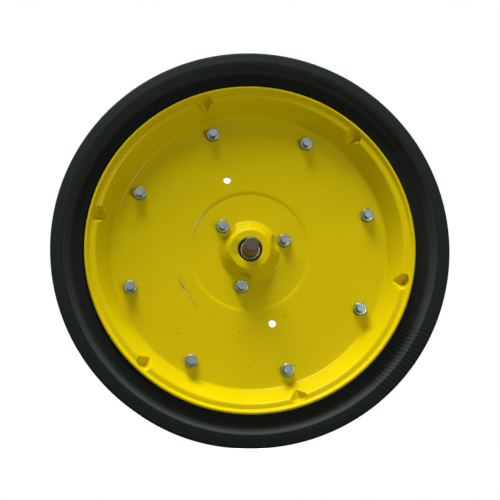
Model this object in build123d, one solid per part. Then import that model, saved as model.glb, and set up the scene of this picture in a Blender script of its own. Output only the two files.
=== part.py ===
from build123d import *
import math
import os

# Gauge wheel of a planter or drill: a semi-pneumatic tyre on a two-piece pressed steel rim,
# which turns on a sealed double-row ball bearing and a bolt that serves as its axle.
# Millimetres. The axle lies along Y, the deep side of the wheel faces -Y and +Z is up.
# The origin is on the axle, in the plane where the two rim halves meet at the hub.
# Sections are drawn with x as the radius and y along the axle, and turned about the axle.

# Tyre
tyre_diameter = 406.4
tyre_width = 114.3
tyre_crest_reach = 42.2
tyre_crest_height = 15.5
tyre_crest_inner_radius = 189.0
tyre_crest_radius = 193.5
tyre_crest_foot_radius = 186.4
tyre_crest_round = 2.6
tyre_band_round = 6.0
tyre_crest_foot_round = 7.0
tyre_crest_band_drop = 3.0
tyre_front_shoulder = 3.0
tyre_rear_shoulder = 14.0
tyre_rear_side_radius = 183.0
tyre_rear_side_round = 9.0
tyre_rear_waist_radius = 175.5
tyre_rear_waist_round = 8.0
tyre_rear_setback = 5.0
tyre_base_radius = 151.0
chamber_floor_radius = 177.0
chamber_front_wall = 24.0
chamber_rear_wall = 13.0
chamber_tread_wall = 11.0
chamber_round = 7.0
tyre_seat_gap = 0.12

# Rim halves, given by the faces that meet each other and carry the tyre
sheet = 3.0
lip_radius = 169.9
lip_flare = 3.8
lip_height = 5.9
ledge_radius = 160.3
well_radius = 145.7
front_lip_reach = 31.6
rear_lip_reach = 41.4
disc_step_radius = 62.5
disc_step_run = 2.5
disc_step = 1.2
disc_step_round = 5.0
well_round = 7.0
ledge_round = 0.6
flare_round = 3.6

# Bearing pockets pressed into the rim halves
front_pocket_depth = 15.0
pocket_wall_length = 4.0
pocket_flank_run = 8.0
pocket_corner_round = 1.3
pocket_neck_round = 5.0
pocket_foot_round = 9.0
pocket_gap = 0.05
front_opening_radius = 12.6
rear_opening_radius = 16.5
rear_pocket_run = 1.9
rear_pocket_foot_round = 3.3

# Recesses pressed into the flank of the front pocket, one round each hub bolt
recess_floor_radius = 11.0
recess_top_radius = 14.0
recess_foot_round = 2.0

# Lugs pressed outwards through the ledge of each rim half, which key the tyre
lug_count = 6
lug_first_angle = 47.8
lug_width = 11.0
lug_inner_radius = 147.0
lug_outer_radius = 165.4
lug_depth = 13.0
lug_round = 2.4
lug_ledge_cut = 0.5

# Rim bolts and hub bolts
rim_bolt_count = 8
rim_bolt_circle = 258.6
rim_bolt_first_angle = 17.4
hub_bolt_count = 3
hub_bolt_circle = 76.2
hub_bolt_first_angle = 17.5
bolt_diameter = 8.0
bolt_hole_gap = 0.3
bolt_head_flats = 13.0
bolt_head_height = 5.3
bolt_head_turn = 23.0
bolt_past_nut = 3.5
bolt_end_chamfer = 0.8
hex_corner_drop = 0.9
hex_face_share = 0.92
nut_height = 6.5
nut_flange_diameter = 17.0
nut_flange_height = 1.4
nut_thread_gap = 0.04

# Two plain holes through both rim halves
disc_hole_count = 2
disc_hole_circle = 158.0
disc_hole_diameter = 8.0
disc_hole_angle = 107.4

# Ball bearing
bearing_diameter = 40.0
bearing_bore = 16.26
outer_ring_width = 17.5
inner_ring_width = 18.3
ball_diameter = 5.556
ball_count = 10
ball_circle = 28.4
ball_row_spacing = 8.6
ball_gap = 0.05
inner_shoulder_radius = 12.6
inner_land_radius = 9.9
inner_land_length = 1.8
outer_shoulder_radius = 15.8
ring_chamfer = 1.3
bore_chamfer = 0.3
seal_thickness = 1.1
seal_recess = 0.2
seal_radius = 17.4
seal_groove_gap = 0.05
seal_lip_gap = 0.06
insert_thickness = 0.4
insert_inner_radius = 11.6
insert_outer_radius = 16.6
cage_inner_radius = 13.0
cage_outer_radius = 15.4
cage_half_gap = 0.2
cage_past_ball = 0.4
cage_pocket_gap = 0.1

# Axle bolt, its washer and the dust cap
axle_diameter = 15.875
axle_tip_reach = 51.5
axle_thread_diameter = 15.4
axle_thread_length = 31.0
axle_runout_diameter = 14.0
axle_runout_width = 1.2
axle_tip_chamfer = 1.0
axle_head_flats = 23.8
axle_head_height = 10.7
washer_diameter = 26.0
washer_thickness = 2.5
washer_bore = 16.3
cap_thickness = 1.0
cap_flange_radius = 20.5
cap_skirt_length = 2.4
cap_fit_gap = 0.03
cap_head_gap = 2.0
cap_crown_round = 5.0

# Places that several pieces share
bearing_radius = bearing_diameter / 2
pocket_radius = bearing_radius + pocket_gap
rear_pocket_depth = outer_ring_width - front_pocket_depth
bearing_middle = (rear_pocket_depth - front_pocket_depth) / 2
inner_ring_rear = bearing_middle + inner_ring_width / 2
step_inner = disc_step_radius - disc_step_run / 2
step_outer = disc_step_radius + disc_step_run / 2
disc_front = -disc_step - sheet
disc_rear = -disc_step + sheet
front_ledge = -(front_lip_reach - lip_height)
rear_ledge = rear_lip_reach - lip_height
flare_start = lip_radius - lip_flare
tyre_radius = tyre_diameter / 2
tyre_rear = tyre_width - tyre_crest_reach


def turned(face):
    """Turn a section about the axle."""
    return revolve(face, axis=Axis.Y)


def ring_face(inner, outer, low, high):
    """A plain ring section between two radii and two places along the axle."""
    return Pos((inner + outer) / 2, (low + high) / 2) * Rectangle(outer - inner, high - low)


def disc_holes(circle, count, first_angle, diameter):
    """Rods that cut through holes, on a circle about the axle."""
    rods = []
    for index in range(count):
        angle = first_angle + index * 360 / count
        rod = Pos(circle / 2, 0, 0) * Rot(90, 0, 0) * Cylinder(diameter / 2, 8 * sheet)
        rods.append(Rot(0, -angle, 0) * rod)
    return rods


# Rim halves: each is one pressed sheet, drawn by its tyre side and thickened away from it

hub_points = [(step_inner, 0), (step_outer, -disc_step), (well_radius, -disc_step)]
hub_rounds = [disc_step_round, disc_step_round, well_round]
front_wall_points = [
    (ledge_radius, front_ledge),
    (flare_start, front_ledge),
    (lip_radius, -front_lip_reach),
]
rear_wall_points = [
    (ledge_radius, rear_ledge),
    (flare_start, rear_ledge),
    (lip_radius, rear_lip_reach),
]
wall_rounds = [ledge_round, flare_round]
front_pocket_points = [
    (front_opening_radius, -front_pocket_depth),
    (pocket_radius, -front_pocket_depth),
    (pocket_radius, pocket_wall_length - front_pocket_depth),
    (pocket_radius + pocket_flank_run, 0),
]
rear_pocket_points = [
    (rear_opening_radius, rear_pocket_depth),
    (pocket_radius, rear_pocket_depth),
    (pocket_radius + rear_pocket_run, 0),
]


def sheet_section(points, rounds, side):
    """The section of a pressed sheet from the line of its tyre side."""
    line = FilletPolyline(*points, radius=rounds)
    return make_face(offset(line, amount=sheet, side=side).edges())


def core_section(wall_points, reach):
    """All that lies between the tyre side of one rim half and the axle."""
    start = (step_outer, -disc_step)
    line = FilletPolyline(
        start,
        (well_radius, -disc_step),
        *wall_points,
        (lip_radius, reach),
        (step_outer, reach),
        radius=[well_round, *wall_rounds, 0, 0],
    )
    closing = Line(line @ 1, line @ 0)
    return make_face([*line.edges(), closing.edge()])


def lug_blocks(ledge, sense, grow, front):
    """Rounded blocks across the ledge of one rim half, with sense as the way to the tyre's middle."""
    low = lug_inner_radius
    high = lug_outer_radius + grow
    width = lug_width + 2 * grow
    length = front + lug_depth + grow
    block = Pos((low + high) / 2, length / 2 - front, 0) * Box(high - low, length, width)
    block = fillet(block.edges().filter_by(Axis.Y).sort_by(Axis.X)[-2:], lug_round + grow)
    floor_edges = block.faces().sort_by(Axis.Y)[-1].edges().sort_by(Axis.X)[1:]
    block = fillet(floor_edges, (lug_round + grow) * 0.8)
    if sense < 0:
        block = mirror(block, about=Plane.XZ)
    blocks = []
    for index in range(lug_count):
        angle = lug_first_angle + index * 360 / lug_count
        blocks.append(Rot(0, -angle, 0) * Pos(0, ledge, 0) * block)
    return blocks


def hub_recess_cones(grow, foot_round):
    """Cones about the hub bolts, from the disc's outer face to the level of the pocket's top."""
    cone = Cone(
        recess_floor_radius + grow,
        recess_top_radius + grow,
        front_pocket_depth,
        align=(Align.CENTER, Align.CENTER, Align.MIN),
    )
    if foot_round:
        cone = fillet(cone.faces().sort_by(Axis.Z)[0].edges(), foot_round)
    cones = []
    for index in range(hub_bolt_count):
        angle = hub_bolt_first_angle + index * 360 / hub_bolt_count
        place = Pos(hub_bolt_circle / 2, grow - sheet, 0) * Rot(90, 0, 0)
        cones.append(Rot(0, -angle, 0) * place * cone)
    return cones


def press_hub_recesses(half):
    """Set the flank of the front pocket back round each hub bolt, with a wall as thick as the sheet."""
    under_flank = FilletPolyline(
        (pocket_radius, 0),
        (pocket_radius, pocket_wall_length - front_pocket_depth),
        (pocket_radius + pocket_flank_run, 0),
        (step_inner, 0),
        radius=[0, pocket_foot_round],
    )
    closing = Line(under_flank @ 1, under_flank @ 0)
    hollow = turned(make_face([*under_flank.edges(), closing.edge()]))
    half += [hollow & cone for cone in hub_recess_cones(sheet, 0)]
    return half - hub_recess_cones(0, recess_foot_round)


def rim_half(pocket_points, pocket_rounds, wall_points, side, sense):
    """One pressed rim half with its bearing pocket, lugs and bolt holes."""
    points = [*pocket_points, *hub_points, *wall_points]
    rounds = [*pocket_rounds, *hub_rounds, *wall_rounds]
    half = turned(sheet_section(points, rounds, side))
    if sense > 0:
        half = press_hub_recesses(half)
    ledge = wall_points[0][1]
    core = turned(core_section(wall_points, wall_points[-1][1] * 2))
    half += [block - core for block in lug_blocks(ledge, sense, sheet, 0)]
    half -= lug_blocks(ledge, sense, 0, sheet + lug_ledge_cut)
    hole_diameter = bolt_diameter + 2 * bolt_hole_gap
    half -= disc_holes(rim_bolt_circle, rim_bolt_count, rim_bolt_first_angle, hole_diameter)
    half -= disc_holes(hub_bolt_circle, hub_bolt_count, hub_bolt_first_angle, hole_diameter)
    half -= disc_holes(disc_hole_circle, disc_hole_count, disc_hole_angle, disc_hole_diameter)
    return half


front_rim_half = rim_half(
    front_pocket_points,
    [pocket_corner_round, pocket_neck_round, pocket_foot_round],
    front_wall_points,
    Side.RIGHT,
    1,
)
rear_rim_half = rim_half(
    rear_pocket_points,
    [ledge_round, rear_pocket_foot_round],
    rear_wall_points,
    Side.LEFT,
    -1,
)


# Tyre: one moulded ring with a closed chamber, and a base that fills the rim


def make_tyre():
    """The tyre, cut to the rim halves and their lugs with a small seating gap."""
    front_side = tyre_crest_height - tyre_crest_reach
    rear_side = rear_lip_reach - tyre_rear_setback
    outline = FilletPolyline(
        (tyre_base_radius, front_side),
        (tyre_crest_foot_radius, front_side),
        (tyre_crest_inner_radius, -tyre_crest_reach),
        (tyre_crest_radius, -tyre_crest_reach),
        (tyre_radius, tyre_crest_band_drop - tyre_crest_reach),
        (tyre_radius, tyre_rear),
        (tyre_rear_side_radius, tyre_rear),
        (tyre_rear_waist_radius, rear_side),
        (tyre_base_radius, rear_side),
        radius=[
            0,
            tyre_crest_foot_round,
            tyre_crest_round,
            tyre_band_round,
            tyre_front_shoulder,
            tyre_rear_shoulder,
            tyre_rear_side_round,
            tyre_rear_waist_round,
            0,
        ],
        close=True,
    )
    section = make_face(outline.edges())
    for points in (front_wall_points, rear_wall_points):
        core = core_section(points, points[-1][1] * 2)
        section -= offset(core, amount=tyre_seat_gap)
    chamber_low = chamber_front_wall - tyre_crest_reach
    chamber_high = tyre_rear - chamber_rear_wall
    chamber = ring_face(
        chamber_floor_radius,
        tyre_radius - chamber_tread_wall,
        chamber_low,
        chamber_high,
    )
    section -= fillet(chamber.vertices(), chamber_round)
    tyre = turned(section)
    tyre -= lug_blocks(front_ledge, 1, sheet + tyre_seat_gap, tyre_seat_gap)
    tyre -= lug_blocks(rear_ledge, -1, sheet + tyre_seat_gap, tyre_seat_gap)
    return tyre


tyre = make_tyre()


# Fasteners: hexagon bolts from the deep side, flanged nuts on the far side


def hexagon(flats, height):
    """A hexagon prism with its top corners dropped, standing on the plane z = 0."""
    corner = flats / math.sqrt(3)
    face = flats / 2 * hex_face_share
    prism = extrude(RegularPolygon(flats / 2, 6, major_radius=False), height)
    profile = Polyline(
        (0, 0),
        (corner, 0),
        (corner, height - hex_corner_drop),
        (face, height),
        (0, height),
        close=True,
    )
    turned_blank = revolve(Plane.XZ * make_face(profile.edges()), axis=Axis.Z)
    return prism & turned_blank


def hex_bolt(length):
    """A bolt whose head stands on z = 0 and whose shank runs to -z."""
    shank = Cylinder(bolt_diameter / 2, length, align=(Align.CENTER, Align.CENTER, Align.MAX))
    shank = chamfer(shank.faces().sort_by(Axis.Z)[0].edges(), bolt_end_chamfer)
    return hexagon(bolt_head_flats, bolt_head_height) + shank


def flange_nut():
    """A hexagon nut with a flange, whose bearing face is z = 0 and whose top is at -z."""
    flange = Cylinder(
        nut_flange_diameter / 2,
        nut_flange_height,
        align=(Align.CENTER, Align.CENTER, Align.MIN),
    )
    body = flange + hexagon(bolt_head_flats, nut_height)
    body -= Cylinder(bolt_diameter / 2 + nut_thread_gap, 3 * nut_height)
    return Rot(180, 0, 0) * body


def fastener_ring(piece, count, circle, first_angle, y):
    """Copies of a fastener on a circle, each turned a little further than the last."""
    pieces = []
    for index in range(count):
        angle = math.radians(first_angle + index * 360 / count)
        origin = (circle / 2 * math.cos(angle), y, circle / 2 * math.sin(angle))
        seat = Plane(origin=origin, x_dir=(1, 0, 0), z_dir=(0, -1, 0))
        pieces.append(seat * Rot(0, 0, bolt_head_turn * index) * piece)
    return Compound(children=pieces)


grip = 2 * sheet
bolt = hex_bolt(grip + nut_height + bolt_past_nut)
nut = flange_nut()
rim_bolts = fastener_ring(bolt, rim_bolt_count, rim_bolt_circle, rim_bolt_first_angle, disc_front)
rim_nuts = fastener_ring(nut, rim_bolt_count, rim_bolt_circle, rim_bolt_first_angle, disc_rear)
hub_bolts = fastener_ring(bolt, hub_bolt_count, hub_bolt_circle, hub_bolt_first_angle, -sheet)
hub_nuts = fastener_ring(nut, hub_bolt_count, hub_bolt_circle, hub_bolt_first_angle, sheet)


# Bearing: two rings, two rows of balls in crown cages, and a rubber seal on each side

ball_radius = ball_diameter / 2
groove_radius = ball_radius + ball_gap
row_places = (bearing_middle - ball_row_spacing / 2, bearing_middle + ball_row_spacing / 2)
seal_outside = outer_ring_width / 2 - seal_recess
seal_inside = seal_outside - seal_thickness


def grooves():
    """The sections of the two ball tracks."""
    return [Pos(ball_circle / 2, y) * Circle(groove_radius) for y in row_places]


def both_sides(inner, outer, near, far):
    """A pair of ring sections at the same distances either side of the bearing's middle."""
    return [
        ring_face(inner, outer, bearing_middle - far, bearing_middle - near),
        ring_face(inner, outer, bearing_middle + near, bearing_middle + far),
    ]


def make_outer_ring():
    """The outer ring, with its tracks and a step for each seal."""
    half = outer_ring_width / 2
    section = ring_face(
        outer_shoulder_radius,
        bearing_radius,
        bearing_middle - half,
        bearing_middle + half,
    )
    section = chamfer(section.vertices().sort_by(Axis.X)[-2:], ring_chamfer)
    section -= grooves()
    section -= both_sides(
        outer_shoulder_radius,
        seal_radius + seal_groove_gap,
        seal_inside - seal_groove_gap,
        half,
    )
    return turned(section)


def make_inner_ring():
    """The inner ring, with its tracks and a low land under each seal lip."""
    half = inner_ring_width / 2
    section = ring_face(
        bearing_bore / 2,
        inner_shoulder_radius,
        bearing_middle - half,
        bearing_middle + half,
    )
    section -= grooves()
    section -= both_sides(inner_land_radius, inner_shoulder_radius, half - inner_land_length, half)
    section = chamfer(section.vertices().sort_by(Axis.X)[:2], bore_chamfer)
    return turned(section)


def make_seal(index):
    """A rubber seal and the steel insert in its inner face, at the front (0) or rear (1)."""
    rubber = both_sides(inner_land_radius + seal_lip_gap, seal_radius, seal_inside, seal_outside)
    insert = both_sides(
        insert_inner_radius,
        insert_outer_radius,
        seal_inside,
        seal_inside + insert_thickness,
    )
    return turned(rubber[index] - insert[index]), turned(insert[index])


def ball_row(y):
    """One row of balls."""
    balls = []
    for index in range(ball_count):
        angle = index * 360 / ball_count
        balls.append(Rot(0, angle, 0) * Pos(ball_circle / 2, y, 0) * Sphere(ball_radius))
    return balls


def make_cage(index):
    """The crown cage of one row: a ring behind the balls, with a pocket for each."""
    inner_end = cage_half_gap
    outer_end = ball_row_spacing / 2 + cage_past_ball
    section = both_sides(cage_inner_radius, cage_outer_radius, inner_end, outer_end)[index]
    cage = turned(section)
    pockets = []
    for ball in range(ball_count):
        angle = ball * 360 / ball_count
        pocket = Rot(0, 90, 0) * Cylinder(ball_radius + cage_pocket_gap, ball_circle / 2)
        place = Pos(ball_circle / 2, row_places[index], 0)
        pockets.append(Rot(0, angle, 0) * place * pocket)
    return cage - pockets


bearing_outer_ring = make_outer_ring()
bearing_inner_ring = make_inner_ring()
front_seal, front_seal_insert = make_seal(0)
rear_seal, rear_seal_insert = make_seal(1)
front_balls = Compound(children=ball_row(row_places[0]))
rear_balls = Compound(children=ball_row(row_places[1]))
front_cage = make_cage(0)
rear_cage = make_cage(1)


# Axle bolt, washer and dust cap

head_seat = inner_ring_rear + washer_thickness


def make_axle_bolt():
    """The axle: a hexagon bolt from the rear, whose thread stands out of the deep side."""
    thread_start = axle_thread_length - axle_tip_reach
    shank_start = thread_start + axle_runout_width
    shank = turned(ring_face(0, axle_diameter / 2, shank_start, head_seat))
    runout = turned(ring_face(0, axle_runout_diameter / 2, thread_start, shank_start))
    thread = turned(ring_face(0, axle_thread_diameter / 2, -axle_tip_reach, thread_start))
    thread = chamfer(thread.faces().sort_by(Axis.Y)[0].edges(), axle_tip_chamfer)
    head = Pos(0, head_seat, 0) * Rot(-90, 0, 0) * hexagon(axle_head_flats, axle_head_height)
    return shank + runout + thread + head


def make_dust_cap():
    """A pressed cap over the bolt head: a skirt in the rear opening, a flange and a crown."""
    rear_face = rear_pocket_depth + sheet
    skirt = rear_opening_radius - cap_fit_gap
    crown = head_seat + axle_head_height + cap_head_gap + cap_thickness
    shell = ring_face(0, skirt, rear_face - cap_skirt_length, crown)
    outer_corner = shell.vertices().group_by(Axis.Y)[-1].sort_by(Axis.X)[-1:]
    shell = fillet(outer_corner, cap_crown_round)
    hollow = ring_face(
        0,
        skirt - cap_thickness,
        rear_face - cap_skirt_length,
        crown - cap_thickness,
    )
    inner_corner = hollow.vertices().group_by(Axis.Y)[-1].sort_by(Axis.X)[-1:]
    hollow = fillet(inner_corner, cap_crown_round - cap_thickness)
    flange = ring_face(skirt - cap_thickness / 2, cap_flange_radius, rear_face, rear_face + cap_thickness)
    return turned(shell - hollow + flange)


axle_bolt = make_axle_bolt()
axle_washer = turned(ring_face(washer_bore / 2, washer_diameter / 2, inner_ring_rear, head_seat))
dust_cap = make_dust_cap()

pieces = {
    "tyre": tyre,
    "front_rim_half": front_rim_half,
    "rear_rim_half": rear_rim_half,
    "rim_bolts": rim_bolts,
    "rim_nuts": rim_nuts,
    "hub_bolts": hub_bolts,
    "hub_nuts": hub_nuts,
    "bearing_outer_ring": bearing_outer_ring,
    "bearing_inner_ring": bearing_inner_ring,
    "front_balls": front_balls,
    "rear_balls": rear_balls,
    "front_cage": front_cage,
    "rear_cage": rear_cage,
    "front_seal": front_seal,
    "rear_seal": rear_seal,
    "front_seal_insert": front_seal_insert,
    "rear_seal_insert": rear_seal_insert,
    "axle_bolt": axle_bolt,
    "axle_washer": axle_washer,
    "dust_cap": dust_cap,
}

os.makedirs("parts", exist_ok=True)
for name, piece in pieces.items():
    export_step(piece, f"parts/{name}.step")
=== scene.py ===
import math

import bpy
import numpy as np
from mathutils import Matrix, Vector


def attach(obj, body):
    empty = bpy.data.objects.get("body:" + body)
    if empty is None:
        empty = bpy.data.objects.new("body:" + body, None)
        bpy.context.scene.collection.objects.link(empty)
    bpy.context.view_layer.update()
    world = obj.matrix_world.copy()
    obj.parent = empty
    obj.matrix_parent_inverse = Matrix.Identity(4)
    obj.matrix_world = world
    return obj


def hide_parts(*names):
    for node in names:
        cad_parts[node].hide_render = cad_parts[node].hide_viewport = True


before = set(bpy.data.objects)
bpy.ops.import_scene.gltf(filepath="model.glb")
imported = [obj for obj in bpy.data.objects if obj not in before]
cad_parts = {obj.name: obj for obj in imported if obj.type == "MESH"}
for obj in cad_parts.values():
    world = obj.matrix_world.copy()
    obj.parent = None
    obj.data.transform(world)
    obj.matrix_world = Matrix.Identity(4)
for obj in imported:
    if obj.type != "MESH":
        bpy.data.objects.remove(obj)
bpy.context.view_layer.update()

# Rear rim half.
# One half of the rim, pressed from 3 mm steel sheet and enamelled yellow: a flat disc that
# is bolted to the other half, a conical wall, a ledge with six pressed lugs, and a lip.

MM = 0.001
SHEET = 3.0
FLARE_START = 166.1
LIP_RADIUS = 169.9
LEDGE_RADIUS = 160.3
WELL_RADIUS = 145.7
BEARING_SEAT = 20.05
DISC_PLACE = -1.2
STEP_INNER = (61.25, 0.0)
STEP_OUTER = (63.75, DISC_PLACE)
RIM_BOLTS = 8
RIM_BOLT_CIRCLE = 258.6
RIM_BOLT_FIRST = 17.4
HUB_BOLTS = 3
HUB_BOLT_CIRCLE = 76.2
HUB_BOLT_FIRST = 17.5
BOLT_HOLE = 8.6
DISC_HOLES = 2
DISC_HOLE_CIRCLE = 158.0
DISC_HOLE_FIRST = 107.4
DISC_HOLE = 8.0
LUG_FIRST = 47.8
LUG_HALF_WIDTH = 8.0
LUG_OUTER = 165.6
LUG_END_SLOPE = 5.0
LUG_DEPTH = 9.5
LUG_SPACING = 60
LUG_RADIUS = 157.0
SUPPORT = 0.8
EDGE_ROUND = 1.1
ARC_STEP = 11


def rounded(corners, rounds, parts):
    """A closed section line whose corners are rounded and whose runs are cut into parts.

    Each point is (radius, place along the axle, number of the corner it belongs to)."""
    count = len(corners)
    arcs = []
    for i in range(count):
        corner = Vector(corners[i])
        back = (Vector(corners[i - 1]) - corner).normalized()
        on = (Vector(corners[(i + 1) % count]) - corner).normalized()
        if rounds[i] == 0:
            arcs.append([corner])
            continue
        half = back.angle(on) / 2
        centre = corner + (back + on).normalized() * rounds[i] / math.sin(half)
        arm = corner + back * rounds[i] / math.tan(half) - centre
        sweep = math.pi - 2 * half
        if back.x * on.y - back.y * on.x > 0:
            sweep = -sweep
        steps = max(2, round(abs(math.degrees(sweep)) / ARC_STEP))
        arc = []
        for k in range(steps + 1):
            turn_by = sweep * k / steps
            across = arm.x * math.cos(turn_by) - arm.y * math.sin(turn_by)
            along = arm.x * math.sin(turn_by) + arm.y * math.cos(turn_by)
            arc.append(centre + Vector((across, along)))
        arcs.append(arc)
    line = []
    for i in range(count):
        line += [(p.x, p.y, i) for p in arcs[i]]
        start = arcs[i][-1]
        end = arcs[(i + 1) % count][0]
        run = (end - start).length
        shares = [k / parts[i] for k in range(1, parts[i])]
        if run > 4 * SUPPORT:
            shares += [SUPPORT / run, 1 - SUPPORT / run]
        for share in sorted(shares):
            spot = start.lerp(end, share)
            line.append((spot.x, spot.y, i))
    return line


def beside(corners, distance):
    """The corners of the line that runs at a distance to the right of another."""
    moved = []
    for i, corner in enumerate(corners):
        normals = []
        for a in (i - 1, i):
            if 0 <= a and a + 1 < len(corners):
                way = (Vector(corners[a + 1]) - Vector(corners[a])).normalized()
                normals.append(Vector((way.y, -way.x)))
        middle = (normals[0] + normals[-1]).normalized()
        spot = Vector(corner) + middle * distance / middle.dot(normals[0])
        moved.append((spot.x, spot.y))
    return moved


def sheet_section(corners, rounds, parts, side, dish_changes=()):
    """The closed section of a pressed sheet, from the corners of its tyre side.

    side is 1 where the dish side is to the right of the line, and -1 where it is to the left.
    dish_changes holds the corners of the dish side that the press shapes apart, each as its
    number, its place and its round."""
    dish = beside(corners, side * SHEET)
    dish_rounds = [EDGE_ROUND]
    for i in range(1, len(corners) - 1):
        before = Vector(corners[i]) - Vector(corners[i - 1])
        after = Vector(corners[i + 1]) - Vector(corners[i])
        turned_left = before.x * after.y - before.y * after.x > 0
        grows = turned_left == (side > 0)
        dish_rounds.append(rounds[i - 1] + (SHEET if grows else -SHEET))
    for number, corner, corner_round in dish_changes:
        dish[number] = corner
        dish_rounds[number] = corner_round
    loop = dish + corners[::-1]
    loop_rounds = dish_rounds + [EDGE_ROUND, EDGE_ROUND] + rounds[::-1] + [EDGE_ROUND]
    loop_parts = parts + [1] + parts[::-1] + [1]
    return rounded(loop, loop_rounds, loop_parts), len(dish)


def turn(name, loop, steps):
    """Draws a section point by point and spins it about the axle by each step in degrees."""
    bpy.ops.object.select_all(action="DESELECT")
    bpy.ops.mesh.primitive_plane_add(size=MM)
    piece = bpy.context.object
    piece.name = name
    piece.data.name = name
    bpy.ops.object.mode_set(mode="EDIT")
    bpy.ops.mesh.select_mode(type="VERT")
    bpy.ops.mesh.select_all(action="SELECT")
    bpy.ops.mesh.merge(type="CENTER")
    here = Vector((0, 0))
    for index, point in enumerate(loop + loop[:1]):
        there = Vector(point[:2]) * MM
        step = (there.x - here.x, there.y - here.y, 0)
        if index == 0:
            bpy.ops.transform.translate(value=step)
        else:
            bpy.ops.mesh.extrude_region_move(TRANSFORM_OT_translate={"value": step})
        here = there
    bpy.ops.mesh.select_all(action="SELECT")
    bpy.ops.mesh.remove_doubles(threshold=0.000002)
    for step in steps:
        bpy.ops.mesh.spin(steps=1, angle=math.radians(step), axis=(0, 1, 0))
    share = round(360 / sum(steps))
    if share > 1:
        bpy.ops.mesh.select_all(action="SELECT")
        bpy.ops.mesh.spin(steps=share, angle=math.tau, axis=(0, 1, 0), dupli=True)
    close_up()
    return piece


def select_only(*pieces):
    """Selects these pieces alone and makes the first one active."""
    bpy.ops.object.select_all(action="DESELECT")
    for piece in pieces:
        piece.select_set(True)
    bpy.context.view_layer.objects.active = pieces[0]


def close_up():
    """Merges what lies on itself, turns all faces outwards and leaves edit mode."""
    bpy.ops.mesh.select_all(action="SELECT")
    bpy.ops.mesh.remove_doubles(threshold=0.000004)
    bpy.ops.mesh.delete_loose(use_verts=True, use_edges=True, use_faces=False)
    bpy.ops.mesh.select_all(action="SELECT")
    bpy.ops.mesh.normals_make_consistent(inside=False)
    bpy.ops.object.mode_set(mode="OBJECT")


def smooth(piece, degrees=35):
    """Shades a piece smooth, apart from edges sharper than the angle."""
    select_only(piece)
    bpy.ops.object.shade_smooth_by_angle(angle=math.radians(degrees))


def apply_modifier(piece, modifier):
    """Applies one modifier of a piece."""
    select_only(piece)
    bpy.ops.object.modifier_apply(modifier=modifier.name)


def press(piece, loop, moved_place, direction):
    """Pushes the points of a piece along the axle by weights, as a press tool does.

    moved_place(radius, angle, place, corner) gives the new place of each point in mm."""
    co = np.array([v.co for v in piece.data.vertices]) / MM
    radius = np.hypot(co[:, 0], co[:, 2])
    angle = np.degrees(np.arctan2(co[:, 2], co[:, 0]))
    section = np.array(loop)
    strength = 20.0
    group = piece.vertex_groups.new(name="press")
    for i in range(len(co)):
        near = np.argmin(np.hypot(section[:, 0] - radius[i], section[:, 1] - co[i, 1]))
        to = moved_place(radius[i], angle[i], co[i, 1], int(section[near, 2]))
        if abs(to - co[i, 1]) > 0.0001:
            group.add([i], direction * (to - co[i, 1]) / strength, "REPLACE")
    displace = piece.modifiers.new("press", "DISPLACE")
    displace.direction = "Y"
    displace.mid_level = 0
    displace.strength = direction * strength * MM
    displace.vertex_group = "press"
    apply_modifier(piece, displace)
    piece.vertex_groups.clear()


def lug_place(radius, angle, place, ledge, direction, grow):
    """Where the tool for a lug leaves a point of the sheet: a soft trough, open to the dish."""
    half_spacing = LUG_SPACING / 2
    off = abs((angle + half_spacing) % LUG_SPACING - half_spacing) * math.radians(LUG_RADIUS)
    across = off / (LUG_HALF_WIDTH + grow)
    slope = LUG_END_SLOPE + grow
    out = max(0.0, radius - (LUG_OUTER + grow - slope)) / slope
    reach = math.hypot(across, out)
    if reach >= 1:
        return place
    depth = (LUG_DEPTH + grow) * (1 + math.cos(math.pi * reach)) / 2
    return direction * max(direction * place, direction * ledge + depth)


def lug_columns():
    """The steps in degrees from one lug's middle to the next, fine across the lug."""
    fine = 14
    plain = 16
    margin = 0.2
    lug_end = math.degrees((LUG_HALF_WIDTH + SHEET + margin) / LUG_RADIUS)
    plain_span = LUG_SPACING / 2 - lug_end
    half_steps = [lug_end / fine] * fine + [plain_span / plain] * plain
    return half_steps + half_steps[::-1]


def on_circle(circle, count, first, place=0.0):
    """Evenly spaced spots on a circle about the axle, in metres."""
    spots = []
    for index in range(count):
        angle = math.radians(first + index * 360 / count)
        reach = circle / 2 * MM
        spots.append((reach * math.cos(angle), place * MM, reach * math.sin(angle)))
    return spots


def drill(piece, circle, count, first, diameter):
    """Cuts round holes through a piece, on a circle about the axle."""
    rod_length = 40 * MM
    rods = []
    for spot in on_circle(circle, count, first):
        bpy.ops.mesh.primitive_cylinder_add(
            vertices=32,
            radius=diameter / 2 * MM,
            depth=rod_length,
            location=spot,
            rotation=(math.radians(90), 0, 0),
        )
        rods.append(bpy.context.object)
    select_only(*rods)
    if len(rods) > 1:
        bpy.ops.object.join()
    cutter = bpy.context.object
    cut = piece.modifiers.new("holes", "BOOLEAN")
    cut.operation = "DIFFERENCE"
    cut.solver = "EXACT"
    cut.object = cutter
    apply_modifier(piece, cut)
    bpy.data.objects.remove(cutter)


def settle(piece, *turned_by):
    """Turns a piece by three angles in degrees and leaves its object at the origin, unturned."""
    select_only(piece)
    piece.rotation_euler = [math.radians(angle) for angle in turned_by]
    bpy.ops.object.transform_apply(location=True, rotation=True, scale=True)


def drill_rim(half):
    """All the holes that both rim halves have in common."""
    drill(half, RIM_BOLT_CIRCLE, RIM_BOLTS, RIM_BOLT_FIRST, BOLT_HOLE)
    drill(half, HUB_BOLT_CIRCLE, HUB_BOLTS, HUB_BOLT_FIRST, BOLT_HOLE)
    drill(half, DISC_HOLE_CIRCLE, DISC_HOLES, DISC_HOLE_FIRST, DISC_HOLE)


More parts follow.
